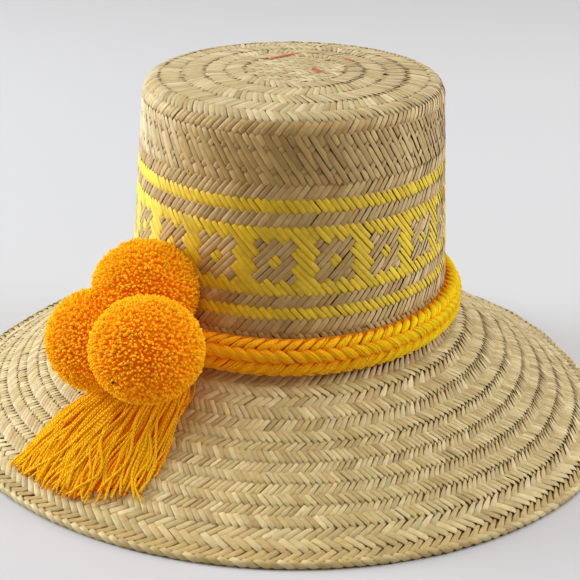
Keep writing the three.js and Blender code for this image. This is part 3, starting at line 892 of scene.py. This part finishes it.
def make_band():
    heap = Heap()
    yarns = 5
    L = 8
    tau = np.linspace(0, 1, L)
    # rows of loops from the top edge down: g at both ends, leans, relief, yarns' radius, place
    for g0, g1, lean_x, low_h, top_h, rad, x_off in BAND_ROWS:
        i = np.repeat(np.arange(LOOPS), yarns)
        j = np.tile(np.arange(yarns), LOOPS)
        n = len(i)
        spread = (j - (yarns - 1) / 2) / yarns
        x0 = (i + x_off) / LOOPS
        # the yarns of a loop spread in its belly and draw together at its ends
        belly = 0.62 + 0.32 * np.sin(np.pi * np.clip(tau * 1.05, 0, 1)) ** 0.8
        x = x0[:, None] + (tau[None] * lean_x + spread[:, None] * belly[None]) / LOOPS
        g = g0 + (g1 - g0) * (tau ** 0.9)[None] + 0.09 * (g0 - g1) * np.sin(np.pi * tau)[None]
        g = g - 0.05 * np.sign(g1 - g0) * spread[:, None] + 0 * x
        plump = np.sin(np.pi * np.clip(tau * 0.90 + 0.08, 0, 1)) ** 0.7
        h = low_h + (top_h - low_h) * plump[None] + 0.95 * (1 - (2.2 * spread[:, None]) ** 2) * plump[None]
        h = h + 0.06 * rng.standard_normal((n, 1))
        P = band_face(x + 0.0004 * rng.standard_normal((n, 1)), np.clip(g, -0.999, 0.999), h - 0.4)
        R = (rad * MM) * (1 - 0.30 * (2 * tau - 1) ** 4)[None] * (1 + 0.08 * rng.standard_normal((n, 1)))
        # painted shade: yarn low in the braid's relief is deeper orange, yarn high on it brighter
        dep = smooth01((h + 0.9) / 2.0)[..., None]
        col = DEEP * (1 - dep) + BRIGHT * dep
        col = np.clip(col * (0.94 + 0.12 * rng.random((n, 1, 1))), 0, 1)
        q = (x0[:, None] + 0.5) % 1.0 - 0.5
        col[..., 1] *= 0.86 + 0.44 * smooth01((q - 0.02) / 0.16) * (1 - smooth01((q - 0.32) / 0.16))   # painted light: yellower on the right
        tubes(heap, P, R, 5, col)
    ob = heap.build("band_braid", BAND_YARN)
    # the braid's inside, seen between loops, in a darker copy of the painted-shade tone
    core = Heap()
    n = 288
    x = np.arange(n + 1) / n - 0.5
    gf = np.linspace(-0.94, 0.94, 16)
    gb = np.linspace(0.94, -0.94, 7)
    X, G = np.meshgrid(np.clip(x, -0.49999, 0.49999), gf, indexing="ij")
    front = band_face(X, G, -1.7)
    X2, G2 = np.meshgrid(np.clip(x, -0.49999, 0.49999), gb, indexing="ij")
    Z2 = (YARN_LOW + YARN_HIGH) / 2 + G2 * (YARN_HIGH - YARN_LOW) / 2
    back = place(azimuth(X2, 0.0), lean(Z2) + BAND_GAP + 0.1, Z2)
    P = np.concatenate([front, back, front[:, :1]], 1)
    X = np.concatenate([X, X2, X[:, :1]], 1)
    Z = P[..., 2] / MM
    c = np.empty(P.shape[:2] + (4,)); c[..., :3] = DEEP * 0.8; c[..., 3] = 1
    uv = np.stack([X * 600, Z], -1)
    core.grid(P[None], uv[None], c[None])
    inner = core.build("band_inside", BAND_YARN)
    return ob, inner, heap.tris()


band, band_in, _ = make_band()
add_piece(band, "hat_band")
add_piece(band_in, "hat_band")

# ---- pompoms
POMPOMS = {"pompom_front": (-42.6, -134.0, 79.1, 28.1, 26.2),
           "pompom_top": (-53.5, -98.3, 95.0, 27.3, 25.6),
           "pompom_left": (-75.8, -110.6, 70.4, 25.8, 26.5)}


def brim_near(x, y):
    """Share of the way down the brim and azimuth of a point, by its oval."""
    lo, hi = np.full(x.shape, -0.3), np.full(x.shape, 1.3)
    for _ in range(26):
        t = (lo + hi) / 2
        w, d = W0 + REACH * t, D0 + (RIM_D - D0) * t
        far = np.hypot((x - CROWN_X * (1 - t)) / w, (y - CROWN_Y * (1 - t)) / d) > 1
        lo, hi = np.where(far, t, lo), np.where(far, hi, t)
    t = (lo + hi) / 2
    w, d = W0 + REACH * t, D0 + (RIM_D - D0) * t
    return t, np.degrees(np.arctan2((x - CROWN_X * (1 - t)) / w, -(y - CROWN_Y * (1 - t)) / d))


SLOPE = math.atan(54.6 / REACH)


def clear_room(P):
    """mm between a point (hat's own mm) and crown, band or brim."""
    x, y, z = P[..., 0], P[..., 1], P[..., 2]
    cx, cy = x - CROWN_X, y - CROWN_Y
    k = np.hypot(cx / W0, cy / D0)
    out = (k - 1) * np.hypot(cx, cy) / k * 0.96 - lean(z)
    least = out - 0.9
    least = np.where(z < BAND_HIGH + 1, np.minimum(least, out - BAND_GAP - BAND_THICK - 0.5), least)
    t, _ = brim_near(x, y)
    lift = (z - brim_z(t)) * math.cos(SLOPE)
    return np.minimum(least, lift - 1.2)


def pompom_reach(name, D):
    x, y, z, rx, rz = POMPOMS[name]
    c = np.array([x, y, z])
    reach = 1 / np.sqrt((D[:, 0] / rx) ** 2 + (D[:, 1] / rx) ** 2 + (D[:, 2] / rz) ** 2)
    for other, (ox, oy, oz, *_r) in POMPOMS.items():
        if other == name:
            continue
        to = np.array([ox, oy, oz]) - c
        ln = np.linalg.norm(to)
        cos = D @ to / ln
        with np.errstate(divide="ignore"):
            lim = np.where(cos > 0.05, (ln / 2 - 0.1) / np.maximum(cos, 1e-6), 1e9)
        reach = np.minimum(reach, lim)
    lo, hi = np.zeros(len(D)), reach.copy()
    bad = clear_room(c + D * reach[:, None]) < 0
    for _ in range(16):
        mid = (lo + hi) / 2
        b = clear_room(c + D * mid[:, None]) < 0
        hi = np.where(b, mid, hi)
        lo = np.where(b, lo, mid)
    return np.where(bad, lo, reach), c


# one orange yarn in a lit tone at the tips and painted-shade tones down the tufts and in the ball's inside
POM_TIP = np.array([0.980, 0.560, 0.011])
POM_SIDE = np.array([0.920, 0.360, 0.003])
POM_DEEP = np.array([0.780, 0.185, 0.001])


def make_pompom(name, count=3500):
    i = np.arange(count) + 0.5
    ph = np.arccos(1 - 2 * i / count)
    th = np.pi * (1 + 5 ** 0.5) * i
    D = np.stack([np.cos(th) * np.sin(ph), np.sin(th) * np.sin(ph), np.cos(ph)], -1)
    D += 0.014 * rng.standard_normal(D.shape)
    D /= np.linalg.norm(D, axis=1)[:, None]
    reach, c = pompom_reach(name, D)
    free = 1 / np.sqrt((D[:, 0] / POMPOMS[name][3]) ** 2 + (D[:, 1] / POMPOMS[name][3]) ** 2
                       + (D[:, 2] / POMPOMS[name][4]) ** 2)
    # strands that other balls or the hat press flat are hidden: fewer of them
    keep = (reach > free * 0.72) | (np.arange(count) % 3 == 0)
    D, reach, free = D[keep], reach[keep], free[keep]
    pressed = reach < free * 0.93
    heap = Heap()
    n = len(D)
    s = np.array([0.86, 0.93, 0.985, 1.0])
    tip = reach * (1 + np.where(pressed, -0.01, 0.012) * np.abs(rng.standard_normal(n))
                   - 0.060 * rng.random(n) ** 1.5) + np.where(pressed, 0, 0.3)
    bend = 0.45 * rng.standard_normal((n, 3))
    bend -= (bend * D).sum(1)[:, None] * D
    P = c + D[:, None] * (tip[:, None] * s[None])[..., None] + bend[:, None] * (s[None, :, None] ** 3)
    R = np.array([0.52, 0.70, 0.66, 0.12])[None] * (1 + 0.14 * rng.standard_normal((n, 1)))
    bright = rng.random((n, 1, 1))
    # painted shade: each tuft darkens to deep red-orange towards the ball's inside
    dep = np.array([0.0, 0.55, 1.0, 1.0])[None, :, None]
    tipc = POM_TIP * (0.82 + 0.3 * bright)
    col = POM_DEEP * (1 - dep) + (POM_SIDE * (1 - dep) + tipc * dep) * dep
    if name == "pompom_front":           # a dark speck low on the left
        col = np.where((D @ np.array([-0.334, -0.907, -0.256]) > 0.9984)[:, None, None],
                       np.array([0.05, 0.02, 0.012]), col)
    P = (P - np.array([MID_X, MID_Y, 0])) * MM
    tubes(heap, P, R * MM, 4, col + 0 * P[..., :1])
    # the ball's inside, in the painted-shade tone
    k = 36
    a = np.linspace(0.001, np.pi - 0.001, k)
    b = np.linspace(0, 2 * np.pi, 2 * k)
    A, B = np.meshgrid(a, b, indexing="ij")
    D2 = np.stack([np.cos(B) * np.sin(A), np.sin(B) * np.sin(A), np.cos(A)], -1)
    r2, _ = pompom_reach(name, D2.reshape(-1, 3))
    Q = c + D2 * (r2.reshape(A.shape) * 0.935)[..., None]
    Q = (Q - np.array([MID_X, MID_Y, 0])) * MM
    cc = np.empty(Q.shape[:2] + (4,)); cc[..., :3] = POM_DEEP; cc[..., 3] = 1
    heap.grid(Q[None], np.stack([B * 8, A * 8], -1)[None], cc[None])
    return heap.build(name + "_yarn", POM_YARN)


for nm in POMPOMS:
    add_piece(make_pompom(nm), nm)

# ---- tassel
TASSEL = np.array([[0.00, -29.0, -16.5, 13], [0.15, -35.0, -14.8, 12.5], [0.30, -39.0, -14.4, 11.5],
                   [0.46, -40.6, -13.9, 10], [0.62, -41.7, -13.4, 8], [0.80, -40.9, -13.0, 6.5],
                   [1.00, -39.8, -12.6, 4.5]])
TIPS = np.array([[0.00, 0.88], [0.14, 0.912], [0.50, 0.912], [0.65, 0.885], [0.81, 0.81], [0.90, 0.735], [1.00, 0.65]])
HEAD = 0.13


def over_brim(az, t, lift):
    return place(az, t * REACH + lift * math.sin(SLOPE), brim_z(t) + lift * math.cos(SLOPE))


def make_tassel(count=208):
    heap = Heap()
    L = 29
    tau = np.linspace(0, 1, L)
    across = np.clip((np.arange(count) + 0.5) / count + 0.05 * rng.standard_normal(count), 0.01, 0.99)
    layer = rng.random(count)
    tipb = np.interp(across, TIPS[:, 0], TIPS[:, 1]) * (1 - 0.10 * rng.random(count) ** 1.5) - 0.01
    stray = rng.random(count) < 0.20
    drift = np.where(stray, 0.16, 0.05) * rng.standard_normal(count)
    layer = np.where(stray, 0.9 + 0.1 * layer, layer)
    a = np.clip(across[:, None] + drift[:, None] * tau[None] ** 1.5, 0.0, 1.0)
    wave = (0.038 * rng.standard_normal((count, 1))
            * np.sin(2 * np.pi * (tau[None] * rng.uniform(0.8, 2.6, (count, 1)) + rng.random((count, 1)))))
    a = np.clip(a + wave * tau[None], 0.0, 1.0)
    left = np.interp(tau, TASSEL[:, 0], TASSEL[:, 1])[None]
    right = np.interp(tau, TASSEL[:, 0], TASSEL[:, 2])[None]
    az = left + (right - left) * a
    t = HEAD + (tipb[:, None] - HEAD) * tau[None]
    thick = np.interp(tau, TASSEL[:, 0], TASSEL[:, 3])[None] * (0.3 + 0.7 * np.sqrt(np.maximum(0, 1 - (2 * a - 1) ** 2)))
    lift = 1.0 + thick * (0.08 + 0.86 * layer[:, None]) + 0.35 * rng.standard_normal((count, 1))
    lift = np.clip(lift, 1.3, thick + 1.2)
    P = over_brim(az, t, lift)
    R = np.full((count, L), 0.62) * (1 + 0.10 * rng.standard_normal((count, 1)))
    R = R * (1 - 0.35 * (tau[None] > 0.985))
    # painted shade: strands low in the pile are deeper red-orange, those on top brighter
    lay_ = layer[:, None, None]
    col = (np.array([0.985, 0.36, 0.003]) * (1 - lay_) + np.array([0.950, 0.640, 0.010]) * lay_)
    col = np.clip(col * (0.90 + 0.2 * rng.random((count, 1, 1))), 0, 1)
    tubes(heap, P, R * MM, 5, col + 0 * P[..., :1])
    # the strands below, seen only in the gaps, in the deeper orange of painted shade
    av, tv = np.linspace(0.04, 0.96, 25), np.linspace(0, 0.90, 20)
    A, T = np.meshgrid(av, tv, indexing="ij")
    tip = np.interp(A, TIPS[:, 0], TIPS[:, 1])
    azs = np.interp(T, TASSEL[:, 0], TASSEL[:, 1]) * (1 - A) + np.interp(T, TASSEL[:, 0], TASSEL[:, 2]) * A
    th = np.interp(T, TASSEL[:, 0], TASSEL[:, 3]) * (0.3 + 0.7 * np.sqrt(np.maximum(0, 1 - (2 * A - 1) ** 2)))
    Q = over_brim(azs, HEAD + (tip - HEAD) * T, 0.9 + 0.42 * th * (1 - T ** 6))
    cc = np.empty(Q.shape[:2] + (4,)); cc[..., :3] = np.array([0.98, 0.30, 0.003]); cc[..., 3] = 1
    heap.grid(Q[None], np.stack([A * 60, T * 80], -1)[None], cc[None])
    # two thin loops hanging out on the right of the front pompom: azimuth, share of brim, lift
    for knots in (((-21.5, 0.085, 9.0), (-16.2, 0.091, 5.0), (-13.45, 0.157, 5.0), (-12.89, 0.232, 4.6),
                   (-14.6, 0.285, 3.4), (-18.5, 0.33, 3.2)),
                  ((-22.0, 0.095, 8.0), (-18.0, 0.100, 5.4), (-15.5, 0.172, 4.8), (-15.5, 0.233, 4.2),
                   (-17.5, 0.29, 3.4), (-20.0, 0.33, 3.2))):
        k = np.array(knots)
        fine = np.linspace(0, len(k) - 1, 40)
        w = [np.interp(fine, np.arange(len(k)), k[:, q]) for q in range(3)]
        w = [np.convolve(np.pad(v, 4, mode="edge"), np.ones(9) / 9, "valid") for v in w]
        Q = over_brim(w[0], w[1], w[2])[None]
        tubes(heap, Q, np.full((1, 40), 0.42 * MM), 5, np.broadcast_to(np.array([0.95, 0.40, 0.006]), (1, 40, 3)))
    return heap.build("tassel_strands", TASSEL_YARN)


add_piece(make_tassel(), "tassel")

# ---------------------------------------------------------------- floor, light, camera
floor_me = bpy.data.meshes.new("studio_floor")
floor_me.from_pydata([(-6, -4, 0), (6, -4, 0), (6, 8, 0), (-6, 8, 0)], [], [(0, 1, 2, 3)])
floor = bpy.data.objects.new("studio_floor", floor_me)
bpy.context.scene.collection.objects.link(floor)
fmat, fnt, fb = nodes_of("studio_floor")
ftc = node(fnt, "ShaderNodeTexCoord")
fno = node(fnt, "ShaderNodeTexNoise")
fno.inputs["Scale"].default_value = 3.0
fnt.links.new(ftc.outputs["Object"], fno.inputs["Vector"])
fse = node(fnt, "ShaderNodeSeparateXYZ")
fnt.links.new(ftc.outputs["Object"], fse.inputs["Vector"])
ffar = node(fnt, "ShaderNodeMapRange")               # painted light: the sweep is a little lighter far back
ffar.inputs["From Min"].default_value = 0.0
ffar.inputs["From Max"].default_value = 2.0
ffar.inputs["To Min"].default_value = 1.0
ffar.inputs["To Max"].default_value = 1.38
fnt.links.new(fse.outputs["Y"], ffar.inputs["Value"])
# painted light: a little lighter towards +X
fside = node(fnt, "ShaderNodeMapRange")
fside.inputs["From Min"].default_value = -0.3
fside.inputs["From Max"].default_value = 0.3
fside.inputs["To Min"].default_value = 0.98
fside.inputs["To Max"].default_value = 1.02
fnt.links.new(fse.outputs["X"], fside.inputs["Value"])
fmu = node(fnt, "ShaderNodeMath", operation="MULTIPLY")
fnt.links.new(ffar.outputs["Result"], fmu.inputs[0])
fnt.links.new(fside.outputs["Result"], fmu.inputs[1])
framp = node(fnt, "ShaderNodeValToRGB")
framp.color_ramp.elements[0].color = (0.524, 0.540, 0.566, 1)
framp.color_ramp.elements[1].color = (0.532, 0.548, 0.574, 1)
fnt.links.new(fno.outputs["Fac"], framp.inputs["Fac"])
fsc = node(fnt, "ShaderNodeVectorMath", operation="SCALE")
fnt.links.new(framp.outputs["Color"], fsc.inputs[0])
fnt.links.new(fmu.outputs["Value"], fsc.inputs["Scale"])
fnt.links.new(fsc.outputs["Vector"], fb.inputs["Base Color"])
fb.inputs["Roughness"].default_value = 0.9
floor_me.materials.append(fmat)

world = bpy.data.worlds.new("studio")
bpy.context.scene.world = world
world.use_nodes = True
bg = world.node_tree.nodes["Background"]
bg.inputs["Color"].default_value = (0.95, 0.96, 0.98, 1)
wnt = world.node_tree
wtc = wnt.nodes.new("ShaderNodeTexCoord")
wse = wnt.nodes.new("ShaderNodeSeparateXYZ")
wmr = wnt.nodes.new("ShaderNodeMapRange")      # the room is darker on the viewer's side
wmr.inputs["From Min"].default_value = -0.9
wmr.inputs["From Max"].default_value = 0.5
wmr.inputs["To Min"].default_value = 0.15
wmr.inputs["To Max"].default_value = 0.55
wcol = wnt.nodes.new("ShaderNodeMix")
wcol.data_type = "RGBA"
wcol.inputs[6].default_value = (1.0, 0.70, 0.46, 1)
wcol.inputs[7].default_value = (0.95, 0.96, 0.98, 1)
wfa = wnt.nodes.new("ShaderNodeMapRange")
wfa.inputs["From Min"].default_value = -0.6
wfa.inputs["From Max"].default_value = 0.5
wnt.links.new(wtc.outputs["Generated"], wse.inputs["Vector"])
wnt.links.new(wse.outputs["Y"], wmr.inputs["Value"])
wnt.links.new(wmr.outputs["Result"], bg.inputs["Strength"])
wnt.links.new(wse.outputs["Y"], wfa.inputs["Value"])
wnt.links.new(wfa.outputs["Result"], wcol.inputs[0])
wnt.links.new(wcol.outputs[2], bg.inputs["Color"])


def area(name, loc, target, size, power, colour=(1, 1, 1)):
    li = bpy.data.lights.new(name, "AREA")
    li.shape = "RECTANGLE"
    li.size, li.size_y = size
    li.energy = power
    li.color = colour
    ob = bpy.data.objects.new(name, li)
    ob.location = loc
    ob.rotation_euler = (Vector(target) - Vector(loc)).to_track_quat("-Z", "Y").to_euler()
    bpy.context.scene.collection.objects.link(ob)
    return ob


area("light_left", (-1.9, -0.20, 0.72), (0, 0, 0.10), (0.9, 0.9), 41, (0.96, 0.99, 1.0))
area("light_right", (1.9, 0.30, 0.95), (0, 0, 0.10), (0.9, 0.9), 21, (1.0, 0.99, 0.98))
area("light_above", (-0.2, -0.2, 2.6), (0, 0.1, 0.0), (2.4, 2.4), 42, (1.0, 0.99, 0.98))

# camera from the photo's own geometry
cam_p = Vector((132.789 - MID_X, -703.433 - MID_Y, 347.842)) * MM
cam_t = Vector((1.5575 - MID_X, 0.2905 - MID_Y, 62.280)) * MM
cam = bpy.data.cameras.new("camera")
cam.sensor_width = 36.0
cam.sensor_fit = "HORIZONTAL"
cam.lens = 83.7556
cam.clip_start = 0.05
cam.clip_end = 50
cam_ob = bpy.data.objects.new("camera", cam)
fwd = (cam_t - cam_p).normalized()
right = fwd.cross(Vector((0, 0, 1))).normalized()
up = right.cross(fwd)
roll = 0.02552
# the photo's picture is turned clockwise by the roll
r2 = right * math.cos(roll) + up * math.sin(roll)
u2 = up * math.cos(roll) - right * math.sin(roll)
cam_ob.matrix_world = Matrix(((r2.x, u2.x, -fwd.x, cam_p.x), (r2.y, u2.y, -fwd.y, cam_p.y),
                              (r2.z, u2.z, -fwd.z, cam_p.z), (0, 0, 0, 1)))
cam.shift_x = 0.378 / 580.0
bpy.context.scene.collection.objects.link(cam_ob)
bpy.context.scene.camera = cam_ob
bpy.context.scene.view_settings.view_transform = "Standard"

print("TRIS crown", crown.tris(), "brim", brim.tris(), "top", top.tris(), "under", under.tris())
